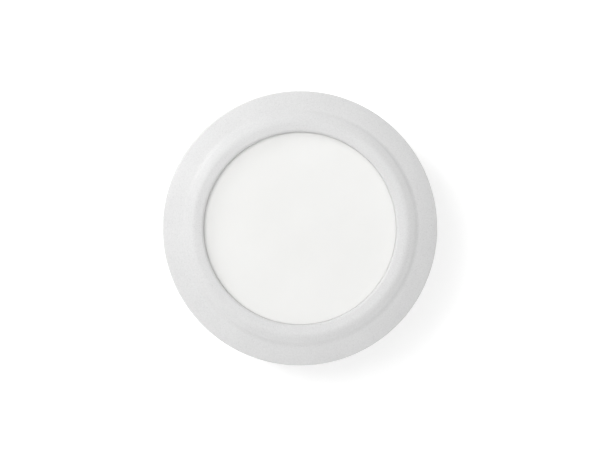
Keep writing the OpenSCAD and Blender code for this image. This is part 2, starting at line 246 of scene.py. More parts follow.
def tube(at, inner, outer, low, high):
    """An upright tube between two radii and two levels."""
    piece = lathe("tube", [(inner, low), (outer, low), (outer, high), (inner, high)], 96)
    piece.data.transform(Matrix.Translation((at[0], 0, at[1])))
    return piece


def turned(piece, angle):
    """Turns a piece about the ring's axis, by degrees that run anticlockwise from the front."""
    piece.data.transform(Matrix.Rotation(-math.radians(angle), 4, "Y"))
    return piece


def merged(pieces):
    """Several solids that don't touch each other, as one object."""
    bm = bmesh.new()
    for piece in pieces:
        bm.from_mesh(piece.data)
        bpy.data.objects.remove(piece)
    return mesh_from(bm, "merged")


def combine(piece, others, operation):
    """Exact boolean, without the slivers that it leaves."""
    other = merged(others)
    modifier = piece.modifiers.new("combine", "BOOLEAN")
    modifier.operation = operation
    modifier.solver = "EXACT"
    modifier.object = other
    apply_modifiers(piece)
    bpy.data.objects.remove(other)
    bm = bmesh.new()
    bm.from_mesh(piece.data)
    bmesh.ops.remove_doubles(bm, verts=bm.verts, dist=SLIVER)
    bmesh.ops.dissolve_degenerate(bm, edges=bm.edges, dist=SLIVER)
    bm.to_mesh(piece.data)
    bm.free()


def add(piece, others):
    combine(piece, others, "UNION")


def cut(piece, others):
    combine(piece, others, "DIFFERENCE")


def stand_for(piece, node, angle=30):
    """Finishes a piece that stands for a CAD node and moves with the node's own body."""
    piece.name = node + "_finished"
    smooth(piece, angle)
    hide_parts(node)
    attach(piece, BODY_OF[node])
    finish_with(piece, SLOT_OF[node])


def softened(node, bevel):
    """A copy of a CAD node's mesh, its edges broken as a mould or a cutter leaves them."""
    weld, flat, sharp = 1e-6, math.radians(0.5), math.radians(35)
    mesh = nodes[node].data.copy()
    mesh.materials.clear()
    piece = add_object(node, mesh)
    bm = bmesh.new()
    bm.from_mesh(mesh)
    bmesh.ops.remove_doubles(bm, verts=bm.verts, dist=weld)
    bmesh.ops.dissolve_limit(bm, angle_limit=flat, verts=bm.verts, edges=bm.edges)
    bm.to_mesh(mesh)
    bm.free()
    modifier = piece.modifiers.new("bevel", "BEVEL")
    modifier.width = bevel
    modifier.segments = 2
    modifier.limit_method = "ANGLE"
    modifier.angle_limit = sharp
    apply_modifiers(piece)
    return piece


# ---------- materials ----------

class Nodes:
    """Short calls for building one material's nodes."""

    def __init__(self, name):
        self.material = bpy.data.materials.new(name)
        self.material.use_nodes = True
        self.tree = self.material.node_tree
        self.tree.nodes.clear()
        self.output = self.tree.nodes.new("ShaderNodeOutputMaterial")
        self.shader = self.tree.nodes.new("ShaderNodeBsdfPrincipled")
        self.join(self.shader.outputs[0], self.output.inputs["Surface"])
        self.place = self.tree.nodes.new("ShaderNodeTexCoord").outputs["Object"]

    def join(self, source, target):
        self.tree.links.new(source, target)

    def set(self, **values):
        """Uniform values of the shader, by socket name with _ for each space."""
        for name, value in values.items():
            self.shader.inputs[name.replace("_", " ")].default_value = value

    def stretched(self, scale):
        """Places stretched by a scale for each axis."""
        mapping = self.tree.nodes.new("ShaderNodeMapping")
        mapping.inputs["Scale"].default_value = scale
        self.join(self.place, mapping.inputs["Vector"])
        return mapping.outputs["Vector"]

    def noise(self, grain, detail=2.0, roughness=0.5, place=None):
        """Noise whose features are about grain metres across."""
        node = self.tree.nodes.new("ShaderNodeTexNoise")
        node.inputs["Scale"].default_value = 1 / grain
        node.inputs["Detail"].default_value = detail
        node.inputs["Roughness"].default_value = roughness
        self.join(place or self.place, node.inputs["Vector"])
        return node.outputs["Fac"]

    def cells(self, grain, feature="F1", randomness=1.0):
        """Distances in a pattern of cells that are about grain metres across."""
        node = self.tree.nodes.new("ShaderNodeTexVoronoi")
        node.feature = feature
        node.inputs["Scale"].default_value = 1 / grain
        node.inputs["Randomness"].default_value = randomness
        self.join(self.place, node.inputs["Vector"])
        return node.outputs["Distance"]

    def ramp(self, source, *stops):
        """stops are (position, grey or colour)."""
        node = self.tree.nodes.new("ShaderNodeValToRGB")
        elements = node.color_ramp.elements
        while len(elements) < len(stops):
            elements.new(0.5)
        for element, (position, value) in zip(elements, stops):
            element.position = position
            colour = value if isinstance(value, (tuple, list)) else (value, value, value)
            element.color = (*colour[:3], 1)
        self.join(source, node.inputs["Fac"])
        return node.outputs["Color"]

    def mix(self, amount, first, second, mode="MIX"):
        """Two colours mixed; each of the three values is a socket or a plain value."""
        node = self.tree.nodes.new("ShaderNodeMix")
        node.data_type = "RGBA"
        node.blend_type = mode
        for socket, value in (("Factor", amount), ("A", first), ("B", second)):
            target = [s for s in node.inputs if s.name == socket and s.enabled][0]
            if isinstance(value, bpy.types.NodeSocket):
                self.join(value, target)
            elif socket == "Factor":
                target.default_value = value
            else:
                target.default_value = (*value[:3], 1)
        return [s for s in node.outputs if s.enabled][0]

    def colour(self, source):
        self.join(source, self.shader.inputs["Base Color"])

    def roughness(self, source, low, high):
        """Roughness between two values, as the source goes from 0.3 to 0.7."""
        self.join(self.ramp(source, (0.3, low), (0.7, high)), self.shader.inputs["Roughness"])

    def bump(self, height, depth):
        """height runs from 0 to 1 and stands for depth metres."""
        node = self.tree.nodes.new("ShaderNodeBump")
        node.inputs["Strength"].default_value = 1.0
        node.inputs["Distance"].default_value = depth
        self.join(height, node.inputs["Height"])
        self.join(node.outputs["Normal"], self.shader.inputs["Normal"])


def moulded(name, colour, tint=0.04, grain=0.3 * MM, rough=(0.42, 0.55)):
    """Moulded plastic: a spark-eroded skin over slow changes of tone."""
    m = Nodes(name)
    light = tuple(min(1, c * (1 + tint)) for c in colour)
    dark = tuple(c * (1 - tint) for c in colour)
    slow = m.ramp(m.noise(9 * MM, 3), (0.3, dark), (0.7, light))
    fine = m.noise(grain, 3, 0.6)
    tone = m.mix(0.35, slow, m.ramp(fine, (0.3, dark), (0.7, light)))
    m.colour(tone)
    m.roughness(m.noise(grain * 3, 2), *rough)
    m.bump(fine, 0.006 * MM)
    return m.material


def ring_plastic():
    """Light grey plastic with a fine speckle in its skin."""
    m = Nodes("ring_plastic")
    base = m.ramp(m.noise(12 * MM, 2), (0.3, (0.748, 0.748, 0.748)), (0.7, (0.772, 0.772, 0.771)))
    grain = m.ramp(m.noise(0.45 * MM, 3, 0.65), (0.32, (0.93, 0.93, 0.93)), (0.62, (1.0, 1.0, 1.0)))
    speck = m.ramp(m.cells(0.9 * MM), (0.05, (0.82, 0.82, 0.82)), (0.16, (1.0, 1.0, 1.0)))
    tone = m.mix(1.0, m.mix(1.0, base, grain, "MULTIPLY"), speck, "MULTIPLY")
    m.colour(tone)
    m.roughness(m.noise(0.7 * MM, 2), 0.40, 0.52)
    m.bump(m.noise(0.35 * MM, 3, 0.6), 0.012 * MM)
    return m.material


def lens_plastic():
    """Frosted warm white plastic, etched to a dead matte."""
    m = Nodes("lens_plastic")
    base = m.ramp(m.noise(15 * MM, 2), (0.3, (0.885, 0.885, 0.868)), (0.7, (0.905, 0.905, 0.888)))
    etch = m.noise(0.12 * MM, 3, 0.6)
    m.colour(m.mix(0.12, base, m.ramp(etch, (0.3, 0.86), (0.7, 0.93))))
    m.roughness(m.noise(0.3 * MM, 2), 0.58, 0.68)
    m.set(Subsurface_Weight=0.3, Subsurface_Radius=(1, 1, 1), Subsurface_Scale=1.0 * MM)
    m.bump(etch, 0.004 * MM)
    return m.material


def metal(name, colour, rough=(0.24, 0.38), streak=(1, 1, 14)):
    """Plated or brushed metal, with its brushing along X and Y."""
    m = Nodes(name)
    m.set(Metallic=1.0)
    brushed = m.noise(0.25 * MM, 4, 0.6, m.stretched(streak))
    dark = tuple(c * 0.86 for c in colour)
    m.colour(m.ramp(brushed, (0.25, dark), (0.75, colour)))
    m.roughness(brushed, *rough)
    m.bump(brushed, 0.003 * MM)
    return m.material


def circuit_board():
    """Green solder mask over copper tracks, with tinned pads."""
    m = Nodes("circuit_board")
    pitch = 2.2 * MM
    line = m.ramp(m.cells(pitch, "DISTANCE_TO_EDGE", 0.75), (0.04, 1.0), (0.07, 0.0))
    mask = m.mix(line, (0.010, 0.085, 0.035), (0.030, 0.200, 0.085))
    pad = m.ramp(m.cells(pitch), (0.10, 1.0), (0.14, 0.0))
    m.colour(m.mix(pad, mask, (0.62, 0.60, 0.52)))
    m.roughness(m.noise(0.8 * MM), 0.22, 0.34)
    m.bump(line, 0.02 * MM)
    return m.material


def clear(name, colour, rough, through=1.0):
    """Clear glass or liquid with a few fine streaks; through is the share of light let through."""
    m = Nodes(name)
    m.set(Transmission_Weight=through, IOR=1.47)
    streak = m.noise(0.8 * MM, 2, place=m.stretched((0.2, 1, 1)))
    faint = tuple(c * 0.95 for c in colour)
    m.colour(m.ramp(streak, (0.3, faint), (0.7, colour)))
    m.roughness(streak, *rough)
    return m.material


def dark_panel():
    """A display that is off: near black, glossy, with its faint pixel rows."""
    m = Nodes("panel_dark")
    rows = m.tree.nodes.new("ShaderNodeTexWave")
    rows.inputs["Scale"].default_value = 1 / (3 * MM)
    m.join(m.place, rows.inputs["Vector"])
    m.colour(m.ramp(rows.outputs["Fac"], (0.2, 0.010), (0.8, 0.024)))
    m.roughness(m.noise(2 * MM), 0.06, 0.12)
    return m.material


MATERIALS = {
    "ring_plastic": ring_plastic(),
    "lens_plastic": lens_plastic(),
    "shell_plastic": moulded("shell_plastic", (0.74, 0.74, 0.73)),
    "inner_plastic": moulded("inner_plastic", (0.055, 0.056, 0.060), 0.12, rough=(0.38, 0.52)),
    "tab_plastic": moulded("tab_plastic", (0.70, 0.20, 0.04), 0.06, rough=(0.30, 0.42)),
    "circuit_board": circuit_board(),
    "chip_plastic": moulded("chip_plastic", (0.018, 0.018, 0.019), 0.2, 0.15 * MM),
    "steel": metal("steel", (0.66, 0.67, 0.68)),
    "brass": metal("brass", (0.78, 0.58, 0.25), (0.18, 0.30)),
    "battery_foil": metal("battery_foil", (0.60, 0.62, 0.66), (0.30, 0.48), (1, 1, 2)),
    "vial_clear": clear("vial_clear", (0.93, 0.99, 0.95), (0.02, 0.05)),
    "level_liquid": clear("level_liquid", (0.55, 0.90, 0.12), (0.02, 0.04), 0.5),
    "guide_clear": clear("guide_clear", (0.95, 0.97, 0.99), (0.05, 0.12)),
    "panel_dark": dark_panel(),
    "white_plastic": moulded("white_plastic", (0.80, 0.80, 0.78), 0.03, rough=(0.30, 0.42)),
    "ribbon_film": moulded("ribbon_film", (0.42, 0.17, 0.03), 0.10, 0.8 * MM, rough=(0.20, 0.32)),
}


def finish_with(piece, slot):
    """Gives a new piece the material of a slot in the record."""
    piece.data.materials.clear()
    piece.data.materials.append(MATERIALS[slot])


def finish_cad_nodes():
    """Every CAD node takes the material of its own slot in the record."""
    for node, slot in SLOT_OF.items():
        mesh = nodes[node].data
        for i in range(max(1, len(mesh.materials))):
            if i < len(mesh.materials):
                mesh.materials[i] = MATERIALS[slot]
            else:
                mesh.materials.append(MATERIALS[slot])


# ---------- the turning ring ----------

RING_R = outer_radius("dial_ring")
CREST = front_level("dial_ring")
RING_BACK = back_level("dial_ring")
LENS_FOOT_R = outer_radius("lens")
LENS_FRONT = front_level("lens")
LENS_BACK = back_level("lens")

LENS_LAP = 0.45 * MM  # how far the lens's foot reaches behind the ring's lip
LENS_GAP = 0.03 * MM
LENS_FOOT_T = 0.7 * MM
LIP_R = LENS_FOOT_R - LENS_LAP
LENS_R = LIP_R - LENS_GAP
LENS_STEP = LENS_BACK + LENS_FOOT_T
LIP_ROUND = 0.9 * MM
CREST_R = 31.35 * MM
CREST_ROUND = 3.4 * MM
SHOULDER_R = 33.75 * MM
SHOULDER_ROUND = 2.6 * MM
CREASE_ROUND = 2.4 * MM
FLANGE_ROUND = 32 * MM
RIM_ROUND = 1.0 * MM
BEAD_SLOPE = 25  # slopes are in degrees
FOOT_SLOPE = 45
FLANGE_START_SLOPE = 15
INNER_SLOPE = 6
WALL = 1.6 * MM
FLANGE_T = 1.7 * MM
SLEEVE_R = 32.0 * MM
SLEEVE_OUTER_R = 33.2 * MM
RETAINER_SCREW_R = 34.4 * MM
BOSS_R = 1.7 * MM
BOSS_LENGTH = 7.6 * MM
PILOT_R = 0.85 * MM  # the hole that a small screw cuts its thread in
PILOT_DEPTH = 5 * MM
PILOT_LIP = 0.1 * MM
GLIDE_GAP = 0.1 * MM
POCKET_GAP = 0.3 * MM
LIP_GAP = 0.25 * MM
GROOVE_DEPTH = 0.3 * MM  # the code band lies in this groove


def drop(run, slope):
    """How far a slope in degrees falls over a run."""
    return run * math.tan(math.radians(slope))


def ring_outline():
    """The ring's section: round the lip, over the bead, through the crease, down the flange."""
    glide_face = front_level("glide_ring") + GLIDE_GAP
    sleeve_back = front_level("ring_retainer")
    groove_back, groove_front = back_level("code_band"), front_level("code_band")
    pocket_r = LENS_FOOT_R + POCKET_GAP
    lip_back = LENS_STEP + LIP_GAP
    crest = (CREST_R, CREST - CREST_ROUND)
    bead_start = on_arc(crest, CREST_ROUND, 90 + INNER_SLOPE)
    bead_end = on_arc(crest, CREST_ROUND, 90 - BEAD_SLOPE)
    lip_end_r = LIP_R + LIP_ROUND * (1 - math.sin(math.radians(INNER_SLOPE)))
    lip_end = bead_start[1] - drop(bead_start[0] - lip_end_r, INNER_SLOPE)
    lip = (LIP_R + LIP_ROUND, lip_end - LIP_ROUND * math.cos(math.radians(INNER_SLOPE)))
    shoulder = (SHOULDER_R, bead_end[1] - drop(SHOULDER_R - bead_end[0], BEAD_SLOPE))
    shoulder_centre = on_arc(shoulder, SHOULDER_ROUND, 270 - BEAD_SLOPE)
    foot = on_arc(shoulder_centre, SHOULDER_ROUND, 90 - FOOT_SLOPE)
    crease = on_arc(foot, CREASE_ROUND, 90 - FOOT_SLOPE)
    flange = on_arc(crease, CREASE_ROUND, 270 - FLANGE_START_SLOPE)
    flange_centre = on_arc(flange, FLANGE_ROUND, 270 - FLANGE_START_SLOPE)
    rim_across = (RING_R - RIM_ROUND - flange_centre[0]) / (FLANGE_ROUND - RIM_ROUND)
    rim_slope = math.degrees(math.asin(rim_across))
    rim = on_arc(flange_centre, FLANGE_ROUND - RIM_ROUND, 90 - rim_slope)
    edge = 0.25 * MM
    return (
        [(pocket_r, glide_face), (pocket_r, lip_back), (LIP_R, lip_back)]
        + arc(lip, LIP_ROUND, 180, 90 + INNER_SLOPE, 14)
        + arc(crest, CREST_ROUND, 90 + INNER_SLOPE, 90 - BEAD_SLOPE, 12)
        + arc(shoulder_centre, SHOULDER_ROUND, 90 - BEAD_SLOPE, 90 - FOOT_SLOPE, 8)
        + arc(crease, CREASE_ROUND, 270 - FOOT_SLOPE, 270 - FLANGE_START_SLOPE, 12)
        + arc(flange_centre, FLANGE_ROUND, 90 - FLANGE_START_SLOPE, 90 - rim_slope, 12)[1:]
        + arc(rim, RIM_ROUND, 90 - rim_slope, 0, 12)[1:]
        + arc((RING_R - edge, RING_BACK + edge), edge, 0, -90, 5)
        + [(RING_R - WALL, RING_BACK), (RING_R - WALL, rim[1] - 1 * MM)]
        + [(foot[0], flange[1] - FLANGE_T), (SLEEVE_OUTER_R, flange[1] - FLANGE_T)]
        + [(SLEEVE_OUTER_R, sleeve_back), (SLEEVE_R, sleeve_back), (SLEEVE_R, groove_back)]
        + [(SLEEVE_R + GROOVE_DEPTH, groove_back), (SLEEVE_R + GROOVE_DEPTH, groove_front)]
        + [(SLEEVE_R, groove_front), (SLEEVE_R, glide_face)]
    )


def make_ring():
    """The ring, with the six bosses that its retainer is screwed to."""
    steps = 384
    ring = lathe("ring", ring_outline(), steps)
    back = front_level("ring_retainer")
    bosses = [on_arc((0, 0), RETAINER_SCREW_R, 60 * i) for i in range(6)]
    add(ring, [rod(at, BOSS_R, back, back + BOSS_LENGTH) for at in bosses])
    cut(ring, [hole(at, PILOT_R, back + PILOT_DEPTH, back, PILOT_LIP) for at in bosses])
    stand_for(ring, "dial_ring", 28)


def make_lens():
    """The flat disc that shows, on a wider foot that stays behind the ring's lip."""
    edge = 0.06 * MM
    foot = 0.15 * MM
    outline = (
        [(0, LENS_BACK), (LENS_FOOT_R, LENS_BACK), (LENS_FOOT_R, LENS_STEP - foot)]
        + [(LENS_FOOT_R - foot, LENS_STEP), (LENS_R, LENS_STEP)]
        + arc((LENS_R - edge, LENS_FRONT - edge), edge, 0, 90, 10)
        + [(share * LENS_R, LENS_FRONT) for share in (0.9, 0.6, 0.3, 0)]
    )
    stand_for(lathe("lens", outline), "lens", 40)


# ---------- the base ----------

BASE_R = outer_radius("wall_plate")
PLATE_FRONT = back_level("base_cover")
BASE_FRONT = front_level("base_cover")
COVER_T = 1.5 * MM
COVER_BACK = BASE_FRONT - COVER_T
BOARD_BACK = back_level("base_circuit_board")
SCREW_PLACES = [(0, side * screw_spacing() / 2) for side in (-1, 1)]
POST_R = 2.0 * MM
POST_PLACES = places_of_pair("guide_posts", POST_R)
PLUG_SIZE = tuple(size_of("base_socket"))
PLUG_PLACE = middle("base_socket")
VIAL_R = 2.2 * MM
LEVEL_PLACE = middle("level_vial")
LEVEL_AXIS = front_level("level_vial") - VIAL_R
TAB_PLACES = [middle(f"release_tab_{i}") for i in range(1, 7)]
STEM_SIZE = (5 * MM, 3.2 * MM)
WIRE_WELL = (24 * MM, 21 * MM)
BOARD_SCREW_PLACES = [(x * MM, z * MM) for x in (-24, 24) for z in (-19, 19)]
CABLE_HOLE_R = 8 * MM
WALL_SCREW_HOLE_R = 2.25 * MM
SCREW_WELL_R = 4.5 * MM


def grown(size, by):
    """A width and height, each larger by the same amount."""
    return (size[0] + by, size[1] + by)


def along_vial(piece, across=0):
    """Lays a piece that stands on the Y axis along the vial's axis, shifted across."""
    piece.data.transform(Matrix.Rotation(math.radians(90), 4, "Z"))
    piece.data.transform(Matrix.Translation((across, -LEVEL_AXIS, LEVEL_PLACE[1])))
    return piece


def make_wall_plate():
    """The back plate, with its screw wells, board supports, cradle for the vial and cable hole."""
    root = PLATE_FRONT / 2  # what stands on the plate starts inside it
    edge = 0.35 * MM
    outline = (
        [(0, 0)] + arc((BASE_R - edge, edge), edge, -90, 0, 5)
        + [(BASE_R, PLATE_FRONT - 0.1 * MM), (BASE_R - 0.1 * MM, PLATE_FRONT), (0, PLATE_FRONT)]
    )
    plate = lathe("plate", outline)
    rib = (BASE_R - 4 * MM, BASE_R - 2.6 * MM)
    cable_tube = (CABLE_HOLE_R - 0.5 * MM, CABLE_HOLE_R + 1 * MM)
    well_outer_r, support_r = 5.6 * MM, 2.4 * MM
    cradle_x, cradle_size = 7.3 * MM, (1.6 * MM, 6 * MM)
    add(plate, [tube((0, 0), *rib, root, BOARD_BACK)])
    add(plate, [rod(at, support_r, root, BOARD_BACK) for at in BOARD_SCREW_PLACES])
    add(plate, [tube(at, SCREW_WELL_R, well_outer_r, root, COVER_BACK) for at in SCREW_PLACES])
    add(plate, [tube((0, 0), *cable_tube, root, BOARD_BACK)])
    add(plate, [
        block((side * cradle_x, LEVEL_PLACE[1]), cradle_size, root, LEVEL_AXIS)
        for side in (-1, 1)
    ])
    cut(plate, [hole((0, 0), CABLE_HOLE_R, BOARD_BACK + PAST_FACE, 0, 0.4 * MM)])
    cut(plate, [
        hole(at, WALL_SCREW_HOLE_R, PLATE_FRONT + PAST_FACE, 0, 0.3 * MM)
        for at in SCREW_PLACES
    ])
    pilot_floor = 0.6 * MM
    cut(plate, [hole(at, PILOT_R, pilot_floor, BOARD_BACK, PILOT_LIP) for at in BOARD_SCREW_PLACES])
    cradle_r, half = VIAL_R + 0.02 * MM, 9 * MM
    cradle = lathe("cradle", [(0, -half), (cradle_r, -half), (cradle_r, half), (0, half)], 64)
    cut(plate, [along_vial(cradle)])
    channels = [(14 * MM, 15 * MM), (19 * MM, 20 * MM)]
    cut(plate, [tube((0, 0), inner, outer, -PAST_FACE, 0.3 * MM) for inner, outer in channels])
    stand_for(plate, "wall_plate")


def make_base_cover():
    """The base's front, with its wells and windows, a tick at each wire and a fine groove."""
    edge = 1.2 * MM
    skirt_r = BASE_R - 2 * MM
    outline = (
        [(0, COVER_BACK), (skirt_r, COVER_BACK), (skirt_r, PLATE_FRONT)]
        + [(BASE_R, PLATE_FRONT)] + arc((BASE_R - edge, BASE_FRONT - edge), edge, 0, 90, 10)
        + [(0.6 * BASE_R, BASE_FRONT), (0, BASE_FRONT)]
    )
    cover = lathe("cover", outline)
    far = COVER_BACK - PAST_FACE
    cutters = [opening((0, 0), WIRE_WELL, far, BASE_FRONT, 1.5 * MM, 0.5 * MM)]
    cutters += [hole(at, SCREW_WELL_R, far, BASE_FRONT, 0.5 * MM) for at in SCREW_PLACES]
    bush_window_r, level_window = 3.3 * MM, (12 * MM, 4.4 * MM)
    cutters += [hole(at, bush_window_r, far, BASE_FRONT) for at in POST_PLACES]
    cutters.append(opening(LEVEL_PLACE, level_window, far, BASE_FRONT, 0.8 * MM, 0.3 * MM))
    plug_window, stem_window = grown(PLUG_SIZE, 0.6 * MM), grown(STEM_SIZE, 0.6 * MM)
    cutters.append(opening(PLUG_PLACE, plug_window, far, BASE_FRONT, 0.3 * MM, 0.3 * MM))
    cutters += [opening(at, stem_window, far, BASE_FRONT, 0.3 * MM, 0.2 * MM) for at in TAB_PLACES]
    tick, tick_x, tick_floor = (3.4 * MM, 0.4 * MM), 16.4 * MM, BASE_FRONT - 0.15 * MM
    ticks = [(math.copysign(tick_x, x), z) for x, z in TAB_PLACES]
    cutters += [opening(at, tick, tick_floor, BASE_FRONT, 0.15 * MM, 0.05 * MM) for at in ticks]
    cut(cover, cutters)
    groove_floor = BASE_FRONT - 0.2 * MM
    groove = tube((0, 0), BASE_R - 2.6 * MM, BASE_R - 2.2 * MM, groove_floor, BASE_FRONT + PAST_FACE)
    cut(cover, [groove])
    stand_for(cover, "base_cover")


def make_tabs():
    """Push tabs: a foot that stays under the cover, and a stem with three grip grooves."""
    foot_size, foot_t, foot_stretch = grown(STEM_SIZE, 0.9 * MM), 1.9 * MM, 6.6 / 5.9
    groove, pitch, depth = (0.4 * MM, 2 * MM), 1.1 * MM, 0.25 * MM
    for i, (x, z) in enumerate(TAB_PLACES, 1):
        node = f"release_tab_{i}"
        back, front = back_level(node), front_level(node)
        tab = block((x, z), foot_size, back, back + foot_t, 0.2 * MM, 0.15 * MM)
        tab.data.transform(Matrix.Translation((-x, 0, 0)))
        tab.data.transform(Matrix.Diagonal((foot_stretch, 1, 1, 1)))
        tab.data.transform(Matrix.Translation((x, 0, 0)))
        add(tab, [block((x, z), STEM_SIZE, back + 1 * MM, front, 0.35 * MM, 0.35 * MM)])
        cut(tab, [
            opening((x + step * pitch, z), groove, front - depth, front, 0.18 * MM, 0.08 * MM)
            for step in (-1, 0, 1)
        ])
        stand_for(tab, node)


def make_level():
    """The vial and its liquid, which stays just clear of the glass."""
    stand_for(softened("level_vial", 0.05 * MM), "level_vial", 40)
    fluid = softened("level_fluid", 0.02 * MM)
    centre = Matrix.Translation((0, -LEVEL_AXIS, LEVEL_PLACE[1]))
    shrink = Matrix.Diagonal((0.995, 0.985, 0.985, 1))
    fluid.data.transform(centre @ shrink @ centre.inverted())
    stand_for(fluid, "level_fluid", 40)


def make_level_marks():
    """Two dark lines round the vial, between which the bubble rests."""
    inner, outer, half = VIAL_R - 0.01 * MM, VIAL_R + 0.03 * MM, 0.18 * MM
    outline = [(inner, -half), (outer, -half), (outer, half), (inner, half)]
    spread = 2.6 * MM
    bands = [along_vial(lathe("band", outline, 64), side * spread) for side in (-1, 1)]
    marks = merged(bands)
    marks.name = "level_marks"
    smooth(marks)
    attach(marks, "base")
    finish_with(marks, "chip_plastic")


# ---------- the head's back ----------

FLOOR = back_level("head_plug")
CABIN = back_level("chassis")
CHASSIS_SCREW_CIRCLE_R = 26.4 * MM
CHASSIS_SCREWS = [on_arc((0, 0), CHASSIS_SCREW_CIRCLE_R, 45 + 90 * i) for i in range(4)]
VENT_PITCH = 1.8
VENTS = [
    ((17 + column * VENT_PITCH) * MM, (-7 + row * VENT_PITCH) * MM)
    for column in (-1, 0, 1) for row in (-1, 0, 1)
]


def make_rear_housing():
    """The head's back shell, with its skirt round the base, vents and slots."""
    recess_r = BASE_R + 0.5 * MM
    spigot_r = RING_R - 2.1 * MM
    shoulder = FLOOR - 0.6 * MM
    rim = 3 * MM
    soft = 0.3 * MM
    inner_round, outer_round = 0.5 * MM, 2 * MM
    wall = 1.4 * MM
    spigot_top = CABIN + 0.9 * MM
    outline = (
        [(0, CABIN), (0, FLOOR), (0.6 * recess_r, FLOOR)]
        + arc((recess_r - inner_round, FLOOR - inner_round), inner_round, 90, 0, 5)
        + arc((recess_r + soft, rim + soft), soft, 180, 270, 5)
        + arc((recess_r + wall - soft, rim + soft), soft, 270, 340, 5)
        + arc((RING_R - 0.4 * MM - outer_round, shoulder - outer_round), outer_round, -20, 0, 6)
        + [(RING_R - 0.4 * MM, shoulder - 0.15 * MM), (RING_R - 0.55 * MM, shoulder)]
        + [(spigot_r, shoulder), (spigot_r, spigot_top)]
        + [(spigot_r - wall, spigot_top), (spigot_r - wall, CABIN)]
    )
    housing = lathe("housing", outline)
    far = CABIN + PAST_FACE
    cutters = [opening(PLUG_PLACE, grown(PLUG_SIZE, 0.4 * MM), far, FLOOR, 0.2 * MM, 0.3 * MM)]
    screw_hole_r, post_hole_r, vent_r, mark_r = 1.0 * MM, 1.2 * MM, 0.5 * MM, 1.6 * MM
    cutters += [hole(at, screw_hole_r, far, FLOOR, 0.6 * MM) for at in CHASSIS_SCREWS]
    cutters += [hole(at, post_hole_r, far, FLOOR, 0.1 * MM) for at in POST_PLACES]
    cutters += [hole(at, vent_r, far, FLOOR, 0.1 * MM) for at in VENTS]
    panel_place, panel_size = (-4 * MM, 6 * MM), (26 * MM, 13 * MM)
    cutters.append(opening(panel_place, panel_size, FLOOR + 0.2 * MM, FLOOR, 1.5 * MM, 0.15 * MM))
    mark_circle_r, mark_floor = 30.5 * MM, FLOOR + 0.12 * MM
    marks = [on_arc((0, 0), mark_circle_r, 22.5 + 45 * i) for i in range(8)]
    cutters += [hole(at, mark_r, mark_floor, FLOOR, 0.05 * MM) for at in marks]
    cut(housing, cutters)
    slot = rounded((3.8 * MM, 1.1 * MM), 0.5 * MM)
    level = BASE_FRONT - 0.85 * MM
    pitch = 8
    outward = Matrix(((0, -1, 0, 0), (0, 0, -1, -level), (1, 0, 0, 0), (0, 0, 0, 1)))
    slots = []
    for side in (90, 270):
        for i in range(-3, 4):
            cutter = loft("slot", (0, 0), [(slot, reach) for reach in (recess_r - PAST_FACE, RING_R)])
            cutter.data.transform(outward)
            slots.append(turned(cutter, side + i * pitch))
    cut(housing, slots)
    stand_for(housing, "rear_housing")


def make_chassis_screws():
    """Countersunk screws with a cross recess in each head."""
    screws = softened("chassis_screws", 0.05 * MM)
    long, thin, depth = 1.7 * MM, 0.36 * MM, 0.55 * MM
    for arm in ((long, thin), (thin, long)):
        cut(screws, [
            opening(at, arm, FLOOR + depth, FLOOR, 0.1 * MM, 0.03 * MM)
            for at in CHASSIS_SCREWS
        ])
    stand_for(screws, "chassis_screws")


def soften_the_rest():
    """The other moulded and cut pieces keep their CAD shape, with their edges broken."""
    widths = {
        "terminal_block_left": 0.25, "terminal_block_right": 0.25, "terminal_clamps": 0.08,
        "base_socket": 0.15, "guide_bushes": 0.15, "guide_posts": 0.15, "plug_pins": 0.08,
        "head_plug": 0.15, "board_chips": 0.08, "radio_shield": 0.12, "battery": 0.3,
        "ring_sensor": 0.08, "climate_sensor": 0.06, "sounder": 0.12, "press_switch": 0.12,
        "switch_plunger": 0.12, "ribbon_connector": 0.08, "ring_retainer": 0.08,
    }
    for node, width in widths.items():
        stand_for(softened(node, width * MM), node, 40)


# ---------- the springs under the lens ----------

SPRING_CIRCLE_R = 26.4 * MM
SPRING_PLACES = [on_arc((0, 0), SPRING_CIRCLE_R, angle) for angle in (30, 150, 270)]
SPRING_COIL_R = 1.2 * MM
SPRING_WIRE_R = 0.15 * MM
SPRING_TURNS = 3
TURN_STEPS, WIRE_SIDES = 32, 10


def make_spring(at, low, high):
    """One coil from low to high; half a turn lies flat at each end."""
    bm = bmesh.new()
    rise = high - low - 2 * SPRING_WIRE_R
    rings = []
    for i in range(SPRING_TURNS * TURN_STEPS + 1):
        turn = i / TURN_STEPS
        around = 2 * math.pi * turn
        climb = min(max((turn - 0.5) / (SPRING_TURNS - 1), 0), 1)
        centre_y = -(low + SPRING_WIRE_R + rise * climb)
        ring = []
        for side in range(WIRE_SIDES):
            across = 2 * math.pi * side / WIRE_SIDES
            radius = SPRING_COIL_R + SPRING_WIRE_R * math.cos(across)
            ring.append(bm.verts.new((
                at[0] + radius * math.cos(around),
                centre_y - SPRING_WIRE_R * math.sin(across),
                at[1] + radius * math.sin(around),
            )))
        rings.append(ring)
    for ring, following in zip(rings, rings[1:]):
        for side in range(WIRE_SIDES):
            other = (side + 1) % WIRE_SIDES
            bm.faces.new((ring[side], ring[other], following[other], following[side]))
    bm.faces.new(rings[0])
    bm.faces.new(rings[-1][::-1])
    return mesh_from(bm, "spring")


def make_return_springs():
    """They stand on the main board; the real ones shorten as the lens is pressed, but these keep one
    length.
    """
    node = "return_springs"
    low, high = back_level(node), front_level(node)
    springs = merged([make_spring(at, low, high) for at in SPRING_PLACES])
    springs.name = node + "_finished"
    smooth(springs, 60)
    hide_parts(node)
    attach(springs, "head")
    finish_with(springs, SLOT_OF[node])
    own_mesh(springs)


# ---------- stage, light and camera ----------

